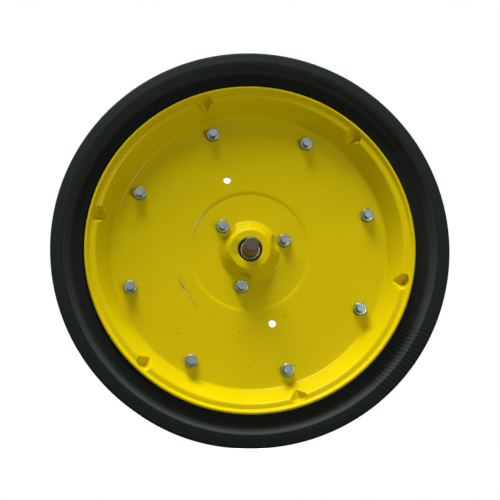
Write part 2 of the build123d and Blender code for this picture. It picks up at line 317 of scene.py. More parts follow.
def add_node(material, kind, place, **values):
    """A shader node with its settings and the values of its inputs."""
    node = material.nodes.new(kind)
    node.location = place
    for name, value in values.items():
        if hasattr(node, name):
            setattr(node, name, value)
        else:
            node.inputs[name.replace("_", " ")].default_value = value
    return node


def make_speckle_group():
    """Grain and blotches of a surface: a fine grain, soft blotches and a few small specks."""
    cells_kept = 0.012
    group = bpy.data.node_groups.new("grain_and_blotches", "ShaderNodeTree")
    face = group.interface
    for name in ("Grain Scale", "Blotch Scale", "Speck Scale", "Speck Share"):
        face.new_socket(name, in_out="INPUT", socket_type="NodeSocketFloat")
    for name in ("Grain", "Blotch", "Speck"):
        face.new_socket(name, in_out="OUTPUT", socket_type="NodeSocketFloat")
    come = add_node(group, "NodeGroupInput", (-900, 0))
    go = add_node(group, "NodeGroupOutput", (500, 0))
    where = add_node(group, "ShaderNodeTexCoord", (-900, 300))
    grain = add_node(group, "ShaderNodeTexNoise", (-500, 300), Detail=2.0)
    blotch = add_node(group, "ShaderNodeTexNoise", (-500, 0), Detail=5.0, Roughness=0.6)
    speck = add_node(group, "ShaderNodeTexVoronoi", (-500, -300))
    split = add_node(group, "ShaderNodeSeparateColor", (-350, -500))
    for node, socket in ((grain, "Grain Scale"), (blotch, "Blotch Scale"), (speck, "Speck Scale")):
        group.links.new(where.outputs["Object"], node.inputs["Vector"])
        group.links.new(come.outputs[socket], node.inputs["Scale"])
    group.links.new(speck.outputs["Color"], split.inputs["Color"])
    share = come.outputs["Speck Share"]
    small = calculate(group, (-200, -300), "LESS_THAN", speck.outputs["Distance"], share)
    rare = calculate(group, (-200, -500), "LESS_THAN", split.outputs["Red"], cells_kept)
    both = calculate(group, (0, -300), "MULTIPLY", small, rare)
    group.links.new(grain.outputs["Fac"], go.inputs["Grain"])
    group.links.new(blotch.outputs["Fac"], go.inputs["Blotch"])
    group.links.new(both, go.inputs["Speck"])
    return group


def place_marks(material, grain, blotch, speck, share):
    """The grain and blotches placed in a material, with their scales and the specks' share."""
    node = add_node(material, "ShaderNodeGroup", (-900, 200))
    node.node_tree = speckle
    for socket, value in zip(node.inputs, (grain, blotch, speck, share)):
        socket.default_value = value
    return node


def blend_colours(material, place, first, second, share):
    """A mix of two colours by a share; each may be a colour or another node's output.

    Inputs 6 and 7 and output 2 are the ones of a Mix node that are for colours."""
    mix = add_node(material, "ShaderNodeMix", place, data_type="RGBA")
    for socket, value in ((mix.inputs[6], first), (mix.inputs[7], second), (mix.inputs[0], share)):
        if isinstance(value, bpy.types.NodeSocket):
            material.links.new(value, socket)
        else:
            socket.default_value = value
    return mix.outputs[2]


def calculate(material, place, operation, first, second=0.0):
    """A Math node on two values; each may be a number or another node's output."""
    node = add_node(material, "ShaderNodeMath", place, operation=operation)
    for socket, value in zip(node.inputs, (first, second)):
        if isinstance(value, bpy.types.NodeSocket):
            material.links.new(value, socket)
        else:
            socket.default_value = value
    return node.outputs[0]


def ramp(material, place, value, start, end):
    """A smooth rise from 0 to 1 of a value between start and end; a fall if end is lower."""
    node = add_node(material, "ShaderNodeMapRange", place, interpolation_type="SMOOTHSTEP")
    node.inputs["From Min"].default_value = start
    node.inputs["From Max"].default_value = end
    material.links.new(value, node.inputs["Value"])
    return node.outputs["Result"]


def spread(material, place, value, low, high):
    """Maps a 0 to 1 value onto a range."""
    node = add_node(material, "ShaderNodeMapRange", place, To_Min=low, To_Max=high)
    material.links.new(value, node.inputs["Value"])
    return node.outputs["Result"]


def beside_axle(material, place, vector):
    """A place with its part along the axle left out, and its length."""
    flat = add_node(material, "ShaderNodeVectorMath", place, operation="MULTIPLY")
    flat.inputs[1].default_value = (1, 0, 1)
    length = add_node(material, "ShaderNodeVectorMath", place, operation="LENGTH")
    material.links.new(vector, flat.inputs[0])
    material.links.new(flat.outputs["Vector"], length.inputs[0])
    return flat.outputs["Vector"], length.outputs["Value"]


def give_bump(material, shader, height, strength, distance):
    """Feeds a height through a Bump node to a shader's normal."""
    bump = add_node(material, "ShaderNodeBump", (100, -500), Strength=strength, Distance=distance)
    material.links.new(height, bump.inputs["Height"])
    material.links.new(bump.outputs["Normal"], shader.inputs["Normal"])


def new_material(name, **constants):
    """A material with a Principled BSDF and the values that are the same all over."""
    material = bpy.data.materials.new(name)
    material.use_nodes = True
    shader = material.node_tree.nodes["Principled BSDF"]
    for socket, value in constants.items():
        shader.inputs[socket.replace("_", " ")].default_value = value
    return material, material.node_tree, shader


speckle = make_speckle_group()

ENAMEL_DEEP = (0.565, 0.435, 0.0004, 1)
ENAMEL_PALE = (0.635, 0.495, 0.0005, 1)
ENAMEL_DUST = (0.30, 0.235, 0.02, 1)
ENAMEL_SCUFF = (0.33, 0.265, 0.045, 1)
ENAMEL_CHIP = (0.16, 0.14, 0.07, 1)
SCUFF_PLACE = (-0.066, 0.0, -0.040)
SCUFF_SIZE = (0.029, 1.0, 0.0042)
SCUFF_LEAN = 58
DEEP_SIDE = -0.002
CHIPS_FROM = 0.1686
CHIPS_FULL = 0.1692


def make_yellow_enamel():
    """Glossy yellow enamel, sprayed on bare steel: a slight orange peel, dust and a chipped edge.

    One broken scuff lies across the deep side of the disc."""
    material, tree, shader = new_material("yellow_enamel", Specular_IOR_Level=0.06)
    marks = place_marks(tree, grain=420.0, blotch=14.0, speck=190.0, share=0.16)
    blotch = marks.outputs["Blotch"]
    paint = blend_colours(tree, (-600, 300), ENAMEL_DEEP, ENAMEL_PALE, blotch)
    dust_and_painted_sheen = blend_colours(tree, (-400, 300), paint, ENAMEL_DUST, marks.outputs["Speck"])
    where = add_node(tree, "ShaderNodeTexCoord", (-1500, 700)).outputs["Object"]

    line_up = add_node(tree, "ShaderNodeMapping", (-1300, 700), vector_type="TEXTURE")
    line_up.inputs["Location"].default_value = SCUFF_PLACE
    line_up.inputs["Rotation"].default_value = (0, math.radians(SCUFF_LEAN), 0)
    line_up.inputs["Scale"].default_value = SCUFF_SIZE
    tree.links.new(where, line_up.inputs["Vector"])
    flat, reach = beside_axle(tree, (-1100, 900), line_up.outputs["Vector"])
    inside = ramp(tree, (-900, 700), reach, start=1.0, end=0.3)
    streaks = add_node(tree, "ShaderNodeTexNoise", (-1100, 500), Scale=2.6, Detail=3.0)
    tree.links.new(flat, streaks.inputs["Vector"])
    broken = add_node(tree, "ShaderNodeMapRange", (-900, 500), From_Min=0.48, From_Max=0.6)
    tree.links.new(streaks.outputs["Fac"], broken.inputs["Value"])
    scuffed = calculate(tree, (-700, 600), "MULTIPLY", inside, broken.outputs["Result"])
    split = add_node(tree, "ShaderNodeSeparateXYZ", (-1300, 400))
    tree.links.new(where, split.inputs["Vector"])
    deep_side = calculate(tree, (-700, 400), "LESS_THAN", split.outputs["Y"], DEEP_SIDE)
    scuff = calculate(tree, (-500, 500), "MULTIPLY", scuffed, deep_side)
    scratched = blend_colours(tree, (-200, 400), dust_and_painted_sheen, ENAMEL_SCUFF, scuff)

    radius = beside_axle(tree, (-900, 1100), where)[1]
    patches = add_node(tree, "ShaderNodeTexNoise", (-1100, 1300), Scale=85.0, Detail=4.0)
    tree.links.new(where, patches.inputs["Vector"])
    edge = ramp(tree, (-700, 1100), radius, CHIPS_FROM, CHIPS_FULL)
    chipped = ramp(tree, (-700, 1300), patches.outputs["Fac"], start=0.66, end=0.70)
    chips = calculate(tree, (-500, 1200), "MULTIPLY", edge, chipped)
    worn = blend_colours(tree, (0, 300), scratched, ENAMEL_CHIP, chips)
    tree.links.new(worn, shader.inputs["Base Color"])
    roughness = spread(tree, (0, 0), blotch, low=0.15, high=0.23)
    tree.links.new(roughness, shader.inputs["Roughness"])
    give_bump(tree, shader, marks.outputs["Grain"], strength=0.10, distance=0.0003)
    return material


yellow_enamel = make_yellow_enamel()

REAR_LUG_START = 10
REAR_OPENING = 16.5
REAR_SEAT_FACE = 2.5
REAR_POCKET_EDGE = 21.95
REAR_LEDGE = 35.5
REAR_LIP = 41.4

rear_corners = [
    (REAR_OPENING, REAR_SEAT_FACE),
    (BEARING_SEAT, REAR_SEAT_FACE),
    (REAR_POCKET_EDGE, 0.0),
    STEP_INNER,
    STEP_OUTER,
    (WELL_RADIUS, DISC_PLACE),
    (LEDGE_RADIUS, REAR_LEDGE),
    (FLARE_START, REAR_LEDGE),
    (LIP_RADIUS, REAR_LIP),
]
rear_rounds = [0.6, 3.3, 5.0, 5.0, 7.0, 0.6, 3.6]
rear_parts = [2, 2, 6, 2, 4, 22, 8, 3]
rear_loop, rear_dish = sheet_section(rear_corners, rear_rounds, rear_parts, -1)
rear_rim = turn("rear_rim_half_pressing", rear_loop, lug_columns())


def rear_press(radius, angle, place, corner):
    """The lugs of the rear half, pressed towards the tyre's middle."""
    if radius < WELL_RADIUS or place < REAR_LUG_START:
        return place
    grow = 0.0 if corner < rear_dish else SHEET
    return lug_place(radius, angle, place, REAR_LEDGE, -1, grow)


press(rear_rim, rear_loop, rear_press, -1)
settle(rear_rim, 0, -LUG_FIRST, 0)
drill_rim(rear_rim)
smooth(rear_rim)
rear_rim.data.materials.append(yellow_enamel)
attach(rear_rim, "wheel")
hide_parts("rear_rim_half")

# Tyre.
# A semi-pneumatic tyre, moulded in one piece of black rubber, pulled over one rim half before
# the other is bolted on. A raised crest runs round near its outer edge.

FRONT_LEDGE = -25.7
FRONT_LUG_START = -8
TYRE_RADIUS = 203.2
TYRE_FRONT = -42.2
TYRE_REAR = 72.1
BAND_DROP = 1.9
CREST_INNER = 189.0
CREST_OUTER = 193.5
WALL_PLACE = -26.7
WALL_INNER = 166.95
WALL_OUTER = 186.4
BEAD_PLACE = 36.4
BEAD_INNER = 166.8
BEAD_OUTER = 175.5
REAR_SHOULDER = 183.0
SEAT_GAP = 0.12
TYRE_BASE = LEDGE_RADIUS + SEAT_GAP
TYRE_SEAT_EDGE = FLARE_START + SEAT_GAP
FRONT_SEAT = FRONT_LEDGE + SEAT_GAP
REAR_SEAT = REAR_LEDGE - SEAT_GAP
NOTCH_RADII = (146, 170)
FRONT_NOTCH_END = -27
REAR_NOTCH_END = 37

tyre_corners = [
    (TYRE_BASE, FRONT_SEAT),
    (TYRE_SEAT_EDGE, FRONT_SEAT),
    (WALL_INNER, WALL_PLACE),
    (WALL_OUTER, WALL_PLACE),
    (CREST_INNER, TYRE_FRONT),
    (CREST_OUTER, TYRE_FRONT),
    (TYRE_RADIUS, TYRE_FRONT + BAND_DROP),
    (TYRE_RADIUS, TYRE_REAR),
    (REAR_SHOULDER, TYRE_REAR),
    (BEAD_OUTER, BEAD_PLACE),
    (BEAD_INNER, BEAD_PLACE),
    (TYRE_SEAT_EDGE, REAR_SEAT),
    (TYRE_BASE, REAR_SEAT),
    (WELL_RADIUS + SEAT_GAP, DISC_PLACE),
]
tyre_rounds = [0.6, 0, 0.8, 7.0, 1.6, 6.0, 3.0, 14.0, 9.0, 8.0, 0.8, 0, 0.6, 6.0]
tyre_parts = [8, 1, 12, 4, 1, 4, 12, 3, 8, 3, 1, 8, 20, 16]
tyre_loop = rounded(tyre_corners, tyre_rounds, tyre_parts)
tyre = turn("tyre_moulding", tyre_loop, lug_columns())


def front_notch(radius, angle, place, corner):
    """The hollows that the front half's lugs press into the tyre's base."""
    inner, outer = NOTCH_RADII
    if not inner < radius < outer or not FRONT_NOTCH_END < place < FRONT_LUG_START:
        return place
    return lug_place(radius, angle, place, FRONT_LEDGE, 1, SHEET + SEAT_GAP)


def rear_notch(radius, angle, place, corner):
    """The hollows that the rear half's lugs press into the tyre's base."""
    inner, outer = NOTCH_RADII
    if not inner < radius < outer or not REAR_LUG_START < place < REAR_NOTCH_END:
        return place
    return lug_place(radius, angle, place, REAR_LEDGE, -1, SHEET + SEAT_GAP)


press(tyre, tyre_loop, front_notch, 1)
press(tyre, tyre_loop, rear_notch, -1)
settle(tyre, 0, -LUG_FIRST, 0)
smooth(tyre)

RUBBER_DARK = [(0.0078, 0.0096, 0.0080, 1), (0.0125, 0.0148, 0.0125, 1)]
# Painted highlight: a lighter rubber colour for the ring in the hollow under the crest, standing
# in for the light that the crest's inner flank catches.
RUBBER_PAINTED_HIGHLIGHT = [(0.026, 0.030, 0.027, 1), (0.040, 0.046, 0.041, 1)]
RUBBER_GREY = [(0.0105, 0.0145, 0.0133, 1), (0.0145, 0.0190, 0.0172, 1)]
RUBBER_SPECK = (0.05, 0.05, 0.045, 1)
HIGHLIGHT_RING_START = (0.1818, 0.1872)
HIGHLIGHT_RING_END = (0.1905, 0.1885)
BAND_START = (0.1920, 0.1928)
LINES_BLACK = (0.0006, 0.0007, 0.0006, 1)
LINES_MIDDLE = math.radians(-37.5)
LINES_HALF_SPAN = math.radians(12.0)
LINES_FADE_START = 0.93 * LINES_HALF_SPAN
LINES_SPACING = math.radians(1.35)
LINES_LEAN = math.radians(32.0)
LINES_SWAY = 0.012
LINES_EDGE = (0.12, 0.04)
LINES_SIDE = -0.02


def make_rubber():
    """Black rubber with a painted highlight ring in the hollow under the crest, greyer on the
    outer band.

    Fine dark lines cross one stretch of the deep side's wall, as the photograph shows."""
    material, tree, shader = new_material("tyre_rubber", Specular_IOR_Level=0.04)
    marks = place_marks(tree, grain=1300.0, blotch=16.0, speck=240.0, share=0.14)
    where = add_node(tree, "ShaderNodeTexCoord", (-2300, 700)).outputs["Object"]
    radius = beside_axle(tree, (-1900, 700), where)[1]
    split = add_node(tree, "ShaderNodeSeparateXYZ", (-2100, 900))
    tree.links.new(where, split.inputs["Vector"])
    blotch = marks.outputs["Blotch"]
    dark = blend_colours(tree, (-600, 100), *RUBBER_DARK, blotch)
    dust_and_painted_sheen = blend_colours(tree, (-600, 300), *RUBBER_PAINTED_HIGHLIGHT, blotch)
    grey = blend_colours(tree, (-600, 500), *RUBBER_GREY, blotch)
    # The ring in the hollow under the crest gets the lighter colour: a painted highlight, the same
    # all round.
    into = ramp(tree, (-1100, 500), radius, *HIGHLIGHT_RING_START)
    out_of = ramp(tree, (-1100, 300), radius, *HIGHLIGHT_RING_END)
    hollow = calculate(tree, (-900, 500), "MULTIPLY", into, out_of)
    band = ramp(tree, (-900, 700), radius, *BAND_START)
    rubber = blend_colours(tree, (-400, 300), dark, dust_and_painted_sheen, hollow)
    rubber = blend_colours(tree, (-300, 400), rubber, grey, band)

    turned = calculate(tree, (-1700, 1100), "ARCTAN2", split.outputs["Z"], split.outputs["X"])
    lean = calculate(tree, (-1500, 900), "MULTIPLY", radius, -LINES_LEAN)
    leaned = calculate(tree, (-1500, 1100), "ADD", turned, lean)
    waver = add_node(tree, "ShaderNodeTexNoise", (-1700, 1300), Scale=34.0, Detail=1.0)
    tree.links.new(where, waver.inputs["Vector"])
    sway = spread(tree, (-1500, 1300), waver.outputs["Fac"], -LINES_SWAY, LINES_SWAY)
    swayed = calculate(tree, (-1300, 1100), "ADD", leaned, sway)
    counted = calculate(tree, (-1100, 1100), "MULTIPLY", swayed, 1 / LINES_SPACING)
    wave = calculate(tree, (-900, 1100), "PINGPONG", counted, 0.5)
    line = ramp(tree, (-700, 1100), wave, *LINES_EDGE)
    from_middle = calculate(tree, (-1500, 1500), "SUBTRACT", turned, LINES_MIDDLE)
    away = calculate(tree, (-1300, 1500), "ABSOLUTE", from_middle)
    within = ramp(tree, (-1100, 1500), away, LINES_HALF_SPAN, LINES_FADE_START)
    deep_side = calculate(tree, (-1100, 1700), "LESS_THAN", split.outputs["Y"], LINES_SIDE)
    patch = calculate(tree, (-900, 1500), "MULTIPLY", within, deep_side)
    cut = calculate(tree, (-500, 1200), "MULTIPLY", line, patch)
    lined = blend_colours(tree, (-200, 500), rubber, LINES_BLACK, cut)
    speckled = blend_colours(tree, (0, 400), lined, RUBBER_SPECK, marks.outputs["Speck"])
    tree.links.new(speckled, shader.inputs["Base Color"])
    roughness = spread(tree, (0, 0), blotch, low=0.54, high=0.70)
    tree.links.new(roughness, shader.inputs["Roughness"])
    give_bump(tree, shader, marks.outputs["Grain"], strength=0.25, distance=0.0004)
    return material


tyre.data.materials.append(make_rubber())
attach(tyre, "wheel")
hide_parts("tyre")

# Front rim half.
# The deep side of the rim, pressed and enamelled like the other half. Its middle is drawn up
# into a dome that holds the bearing, set back round each of the three hub bolts.

FRONT_OPENING = 12.6
FRONT_SEAT_FACE = -15.0
DOME_TURN = -11.0
DOME_FOOT = 28.05
FRONT_LIP = -31.6
HUB_FACE = -3.0
DOME_FLANK = [(1, (20.9, -18.0), 2.4), (2, (26.2, -10.5), 0), (3, (31.5, HUB_FACE), 4.0)]
DOME_RADII = (21.0, 36.0)
RECESS_INNER = 10.6
RECESS_OUTER = 14.6

front_corners = [
    (FRONT_OPENING, FRONT_SEAT_FACE),
    (BEARING_SEAT, FRONT_SEAT_FACE),
    (BEARING_SEAT, DOME_TURN),
    (DOME_FOOT, 0.0),
    STEP_INNER,
    STEP_OUTER,
    (WELL_RADIUS, DISC_PLACE),
    (LEDGE_RADIUS, FRONT_LEDGE),
    (FLARE_START, FRONT_LEDGE),
    (LIP_RADIUS, FRONT_LIP),
]
front_rounds = [1.3, 5.0, 9.0, 5.0, 5.0, 7.0, 0.6, 3.6]
front_parts = [5, 6, 12, 10, 2, 4, 16, 8, 3]
front_loop, front_dish = sheet_section(front_corners, front_rounds, front_parts, 1, DOME_FLANK)
front_rim = turn("front_rim_half_pressing", front_loop, lug_columns())


def front_press(radius, angle, place, corner):
    """The lugs of the front half, and the recesses round its hub bolts."""
    on_dish = corner < front_dish
    if radius > WELL_RADIUS and place < FRONT_LUG_START:
        return lug_place(radius, angle, place, FRONT_LEDGE, 1, 0.0 if on_dish else SHEET)
    inner, outer = DOME_RADII
    if not inner < radius < outer:
        return place
    floor = HUB_FACE if on_dish else 0.0
    turned = math.radians(angle + LUG_FIRST)
    nearest = math.inf
    for index in range(HUB_BOLTS):
        bolt = math.radians(HUB_BOLT_FIRST + index * 360 / HUB_BOLTS)
        across = radius * math.cos(turned) - HUB_BOLT_CIRCLE / 2 * math.cos(bolt)
        up = radius * math.sin(turned) - HUB_BOLT_CIRCLE / 2 * math.sin(bolt)
        nearest = min(nearest, math.hypot(across, up))
    grow = 0.0 if on_dish else SHEET / 2
    share = min(1.0, max(0.0, (nearest - RECESS_INNER - grow) / (RECESS_OUTER - RECESS_INNER)))
    share = share * share * (3 - 2 * share)
    return floor + (place - floor) * share


press(front_rim, front_loop, front_press, 1)
settle(front_rim, 0, -LUG_FIRST, 0)
drill_rim(front_rim)
smooth(front_rim)
front_rim.data.materials.append(yellow_enamel)
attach(front_rim, "wheel")
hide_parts("front_rim_half")

# Rim bolts and hub bolts.
# M8 hexagon bolts, cold-headed steel with a pale zinc plating: eight near the wall of the
# dish and three round the hub. All go in from the deep side.

HEAD_FLATS = 13.0
HEAD_HEIGHT = 5.3
HEAD_OVERLAP = 0.5
BOLT_RADIUS = 4.0
BOLT_LENGTH = 16.0
BOLT_CHAMFER = 0.6
BOLT_PITCH = 1.25
BOLT_THREAD_START = 5.0
BOLT_THREAD_DEPTH = 0.6
DISC_FRONT = -4.2
FASTENER_TURN = 23
ZINC_TINT = (0.21, 0.245, 0.225)
ZINC_SPECK = (0.10, 0.10, 0.09, 1)


def shade(tint, share):
    """A colour made lighter or darker by a share."""
    return tuple(min(1.0, part * share) for part in tint) + (1,)


def make_zinc():
    """Zinc plating: metal with a faint cloudy tint and fine handling marks."""
    material, tree, shader = new_material("pale_zinc", Metallic=1.0)
    marks = place_marks(tree, grain=1500.0, blotch=160.0, speck=700.0, share=0.2)
    grain = marks.outputs["Grain"]
    dark = shade(ZINC_TINT, 0.5)
    pale = shade(ZINC_TINT, 1.7)
    metal = blend_colours(tree, (-600, 300), dark, pale, marks.outputs["Blotch"])
    marked = blend_colours(tree, (-400, 300), metal, ZINC_SPECK, marks.outputs["Speck"])
    tree.links.new(marked, shader.inputs["Base Color"])
    roughness = spread(tree, (0, 0), grain, low=0.18, high=0.36)
    tree.links.new(roughness, shader.inputs["Roughness"])
    give_bump(tree, shader, grain, strength=0.18, distance=0.0002)
    return material


def hexagon(name, flats, height, edge=0.22):
    """A hexagon head with dropped corners and eased edges, standing towards -Y from y = 0.

    A cone takes the corners off its end, which then gets a shallow hollow."""
    corner = flats / math.sqrt(3)
    cone_foot = 0.985 * corner
    cone_end = 0.96 * flats / 2
    cone_depth = 1.5
    end_rim = 0.10 * flats
    hollow_slope = 0.06 * flats
    hollow_depth = 0.012 * flats
    eased_from = math.radians(24)
    bpy.ops.object.select_all(action="DESELECT")
    bpy.ops.mesh.primitive_cylinder_add(vertices=6, radius=corner * MM, depth=height * MM)
    head = bpy.context.object
    head.name = name
    head.data.name = name
    head.location = (0, -height / 2 * MM, 0)
    settle(head, 90, 0, 0)
    bpy.ops.mesh.primitive_cone_add(
        vertices=48,
        radius1=cone_foot * MM,
        radius2=cone_end * MM,
        depth=cone_depth * MM,
        rotation=(math.radians(90), 0, 0),
        location=(0, (-height + cone_depth / 2) * MM, 0),
    )
    blank = bpy.context.object
    bpy.ops.object.mode_set(mode="EDIT")
    bpy.ops.mesh.select_all(action="DESELECT")
    bpy.ops.mesh.select_mode(type="FACE")
    bpy.ops.object.mode_set(mode="OBJECT")
    for face in blank.data.polygons:
        middle = blank.matrix_world @ face.center
        face.select = len(face.vertices) > 4 and middle.y > (-height + cone_depth / 2) * MM
    bpy.ops.object.mode_set(mode="EDIT")
    past_seat = {"value": (0, 1.2 * height * MM, 0)}
    bpy.ops.mesh.extrude_region_move(TRANSFORM_OT_translate=past_seat)
    bpy.ops.object.mode_set(mode="OBJECT")
    cut = head.modifiers.new("chamfer", "BOOLEAN")
    cut.operation = "INTERSECT"
    cut.solver = "EXACT"
    cut.object = blank
    apply_modifier(head, cut)
    bpy.data.objects.remove(blank)
    bpy.ops.object.mode_set(mode="EDIT")
    bpy.ops.mesh.select_all(action="SELECT")
    bpy.ops.mesh.remove_doubles(threshold=0.00001)
    bpy.ops.mesh.select_all(action="DESELECT")
    bpy.ops.object.mode_set(mode="OBJECT")
    for face in head.data.polygons:
        face.select = face.normal.y < -0.99 and face.center.y < (-height + 0.01) * MM
    bpy.ops.object.mode_set(mode="EDIT")
    bpy.ops.mesh.inset(thickness=end_rim * MM, depth=0, use_even_offset=False)
    bpy.ops.mesh.inset(
        thickness=hollow_slope * MM, depth=-hollow_depth * MM, use_even_offset=False
    )
    bpy.ops.object.mode_set(mode="OBJECT")
    ease = head.modifiers.new("ease", "BEVEL")
    ease.width = edge * MM
    ease.segments = 2
    ease.limit_method = "ANGLE"
    ease.angle_limit = eased_from
    apply_modifier(head, ease)
    return head


def cut_thread(rod, radius, start, end, pitch, depth):
    """Presses a screw thread into a dense rod between two places along the axle, in mm."""
    tolerance = 0.02
    groove_fullness = 1.25
    groove_slope = 3.4
    run_out = 0.6 * pitch
    co = np.array([v.co for v in rod.data.vertices]) / MM
    across = co[:, 0]
    up = co[:, 2]
    outside = np.abs(np.hypot(across, up) - radius) < tolerance
    phase = (co[:, 1] / pitch + np.arctan2(up, across) / math.tau) % 1.0
    groove = np.clip(groove_fullness - np.abs(phase - 0.5) * groove_slope, 0, 1)
    fade = np.clip(np.minimum(co[:, 1] - start, end - co[:, 1]) / run_out, 0, 1)
    weights = np.where(outside, groove * fade, 0)
    group = rod.vertex_groups.new(name="thread")
    for i in np.nonzero(weights > 0.001)[0]:
        group.add([int(i)], float(weights[i]), "REPLACE")
    displace = rod.modifiers.new("thread", "DISPLACE")
    displace.direction = "NORMAL"
    displace.mid_level = 0
    displace.strength = -depth * MM
    displace.vertex_group = "thread"
    apply_modifier(rod, displace)
    rod.vertex_groups.clear()


def rod_loop(radius, near, far, chamfer, rings):
    """The half section of a plain rod, chamfered at both ends, in mm."""
    loop = [(0.0, near, 0), (radius - chamfer, near, 0), (radius, near + chamfer, 0)]
    low = near + chamfer
    high = far - chamfer
    loop += [(radius, low + (high - low) * k / rings, 0) for k in range(1, rings + 1)]
    loop += [(radius - chamfer, far, 0), (0.0, far, 0)]
    return loop


def even_steps(count):
    """The steps in degrees of a full turn in equal parts."""
    return [360 / count] * count


def join(pieces, name):
    """Joins pieces into one object."""
    select_only(*pieces)
    bpy.ops.object.join()
    joined = bpy.context.object
    joined.name = name
    joined.data.name = name
    return joined


def copy_round(piece, name, spots, first_turn):
    """Copies of a fastener at the spots, joined, each turned on from the one before."""
    copies = []
    for index, spot in enumerate(spots):
        copy = piece.copy()
        copy.data = piece.data.copy()
        bpy.context.scene.collection.objects.link(copy)
        copy.rotation_euler = (0, -math.radians(first_turn + FASTENER_TURN * index), 0)
        copy.location = spot
        copies.append(copy)
    select_only(*copies)
    bpy.ops.object.transform_apply(location=True, rotation=True, scale=True)
    return join(copies, name)


zinc = make_zinc()
bolt_head = hexagon("bolt_head", HEAD_FLATS, HEAD_HEIGHT)
shank_loop = rod_loop(BOLT_RADIUS, -HEAD_OVERLAP, BOLT_LENGTH, BOLT_CHAMFER, rings=80)
bolt_shank = turn("bolt_shank", shank_loop, even_steps(24))
bolt_thread_end = BOLT_LENGTH - BOLT_CHAMFER / 2
cut_thread(
    bolt_shank, BOLT_RADIUS, BOLT_THREAD_START, bolt_thread_end, BOLT_PITCH, BOLT_THREAD_DEPTH
)
bolt = join([bolt_head, bolt_shank], "bolt")
smooth(bolt, degrees=30)
bolt.data.materials.append(zinc)
rim_bolt_spots = on_circle(RIM_BOLT_CIRCLE, RIM_BOLTS, RIM_BOLT_FIRST, DISC_FRONT)
hub_bolt_spots = on_circle(HUB_BOLT_CIRCLE, HUB_BOLTS, HUB_BOLT_FIRST, HUB_FACE)
rim_bolts = copy_round(bolt, "rim_bolt_set", rim_bolt_spots, first_turn=0)
hub_bolts = copy_round(bolt, "hub_bolt_set", hub_bolt_spots, first_turn=0)
bpy.data.objects.remove(bolt)
for piece, node in ((rim_bolts, "rim_bolts"), (hub_bolts, "hub_bolts")):
    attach(piece, "wheel")
    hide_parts(node)

# Rim nuts and hub nuts.
# Hexagon nuts with a flange, of the same plating, run up on the far side of the rim.

NUT_HEIGHT = 6.5
NUT_BORE = 8.08
FLANGE_INNER = 4.4
FLANGE_RADIUS = 8.5
FLANGE_EDGE = -0.9
FLANGE_TOP = -2.0
FLANGE_TOP_RADIUS = 6.4
DISC_REAR = 1.8
HUB_REAR = 3.0

nut_body = hexagon("nut", HEAD_FLATS, NUT_HEIGHT)
flange_corners = [
    (FLANGE_INNER, 0.0),
    (FLANGE_RADIUS, 0.0),
    (FLANGE_RADIUS, FLANGE_EDGE),
    (FLANGE_TOP_RADIUS, FLANGE_TOP),
    (FLANGE_INNER, FLANGE_TOP),
]
flange_loop = rounded(flange_corners, [0.0, 0.2, 0.5, 0.4, 0.0], [1, 1, 2, 1, 1])
nut_flange = turn("nut_flange", flange_loop, even_steps(36))
nut = join([nut_body, nut_flange], "nut")
drill(nut, circle=0.0, count=1, first=0.0, diameter=NUT_BORE)
settle(nut, 180, 0, 0)
smooth(nut, degrees=30)
nut.data.materials.append(zinc)
rim_nut_spots = on_circle(RIM_BOLT_CIRCLE, RIM_BOLTS, RIM_BOLT_FIRST, DISC_REAR)
hub_nut_spots = on_circle(HUB_BOLT_CIRCLE, HUB_BOLTS, HUB_BOLT_FIRST, HUB_REAR)
rim_nuts = copy_round(nut, "rim_nut_set", rim_nut_spots, first_turn=11)
hub_nuts = copy_round(nut, "hub_nut_set", hub_nut_spots, first_turn=7)
bpy.data.objects.remove(nut)
for piece, node in ((rim_nuts, "rim_nuts"), (hub_nuts, "hub_nuts")):
    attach(piece, "wheel")
    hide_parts(node)

# Bearing.
# A sealed double-row ball bearing pressed between the two halves: hardened steel rings and
# balls, moulded cages, and a black rubber seal with a steel insert on each side.

BEARING_MIDDLE = -6.25
SEAL_OUTSIDE = 8.55
SEAL_INSIDE = 7.45
SEAL_LIP = 9.96
SEAL_RIM = 17.4
LIP_GROOVE = SEAL_OUTSIDE - 0.35


def make_plain(name, tint, metallic, rough):
    """A plain finish with a little blotch and grain."""
    material, tree, shader = new_material(name, Metallic=metallic)
    marks = place_marks(tree, grain=1600.0, blotch=120.0, speck=600.0, share=0.1)
    blotch = marks.outputs["Blotch"]
    colour = blend_colours(tree, (-400, 300), shade(tint, 0.8), shade(tint, 1.2), blotch)
    roughness = spread(tree, (0, 0), blotch, low=rough - 0.05, high=rough + 0.08)
    tree.links.new(colour, shader.inputs["Base Color"])
    tree.links.new(roughness, shader.inputs["Roughness"])
    give_bump(tree, shader, marks.outputs["Grain"], strength=0.08, distance=0.0002)
    return material


ground_steel = make_plain("ground_steel", (0.62, 0.62, 0.60), metallic=1.0, rough=0.22)
nylon = make_plain("cage_nylon", (0.62, 0.55, 0.38), metallic=0.0, rough=0.5)
seal_black = make_plain("seal_black", (0.006, 0.006, 0.006), metallic=0.0, rough=0.45)
insert_steel = make_plain("insert_steel", (0.45, 0.45, 0.45), metallic=1.0, rough=0.4)
finishes = {
    "bearing_outer_ring": ground_steel,
    "front_balls": ground_steel,
    "rear_balls": ground_steel,
    "front_cage": nylon,
    "rear_cage": nylon,
    "front_seal_insert": insert_steel,
    "rear_seal_insert": insert_steel,
}
for node_name, finish in finishes.items():
    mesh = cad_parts[node_name].data
    mesh.materials.clear()
    mesh.materials.append(finish)

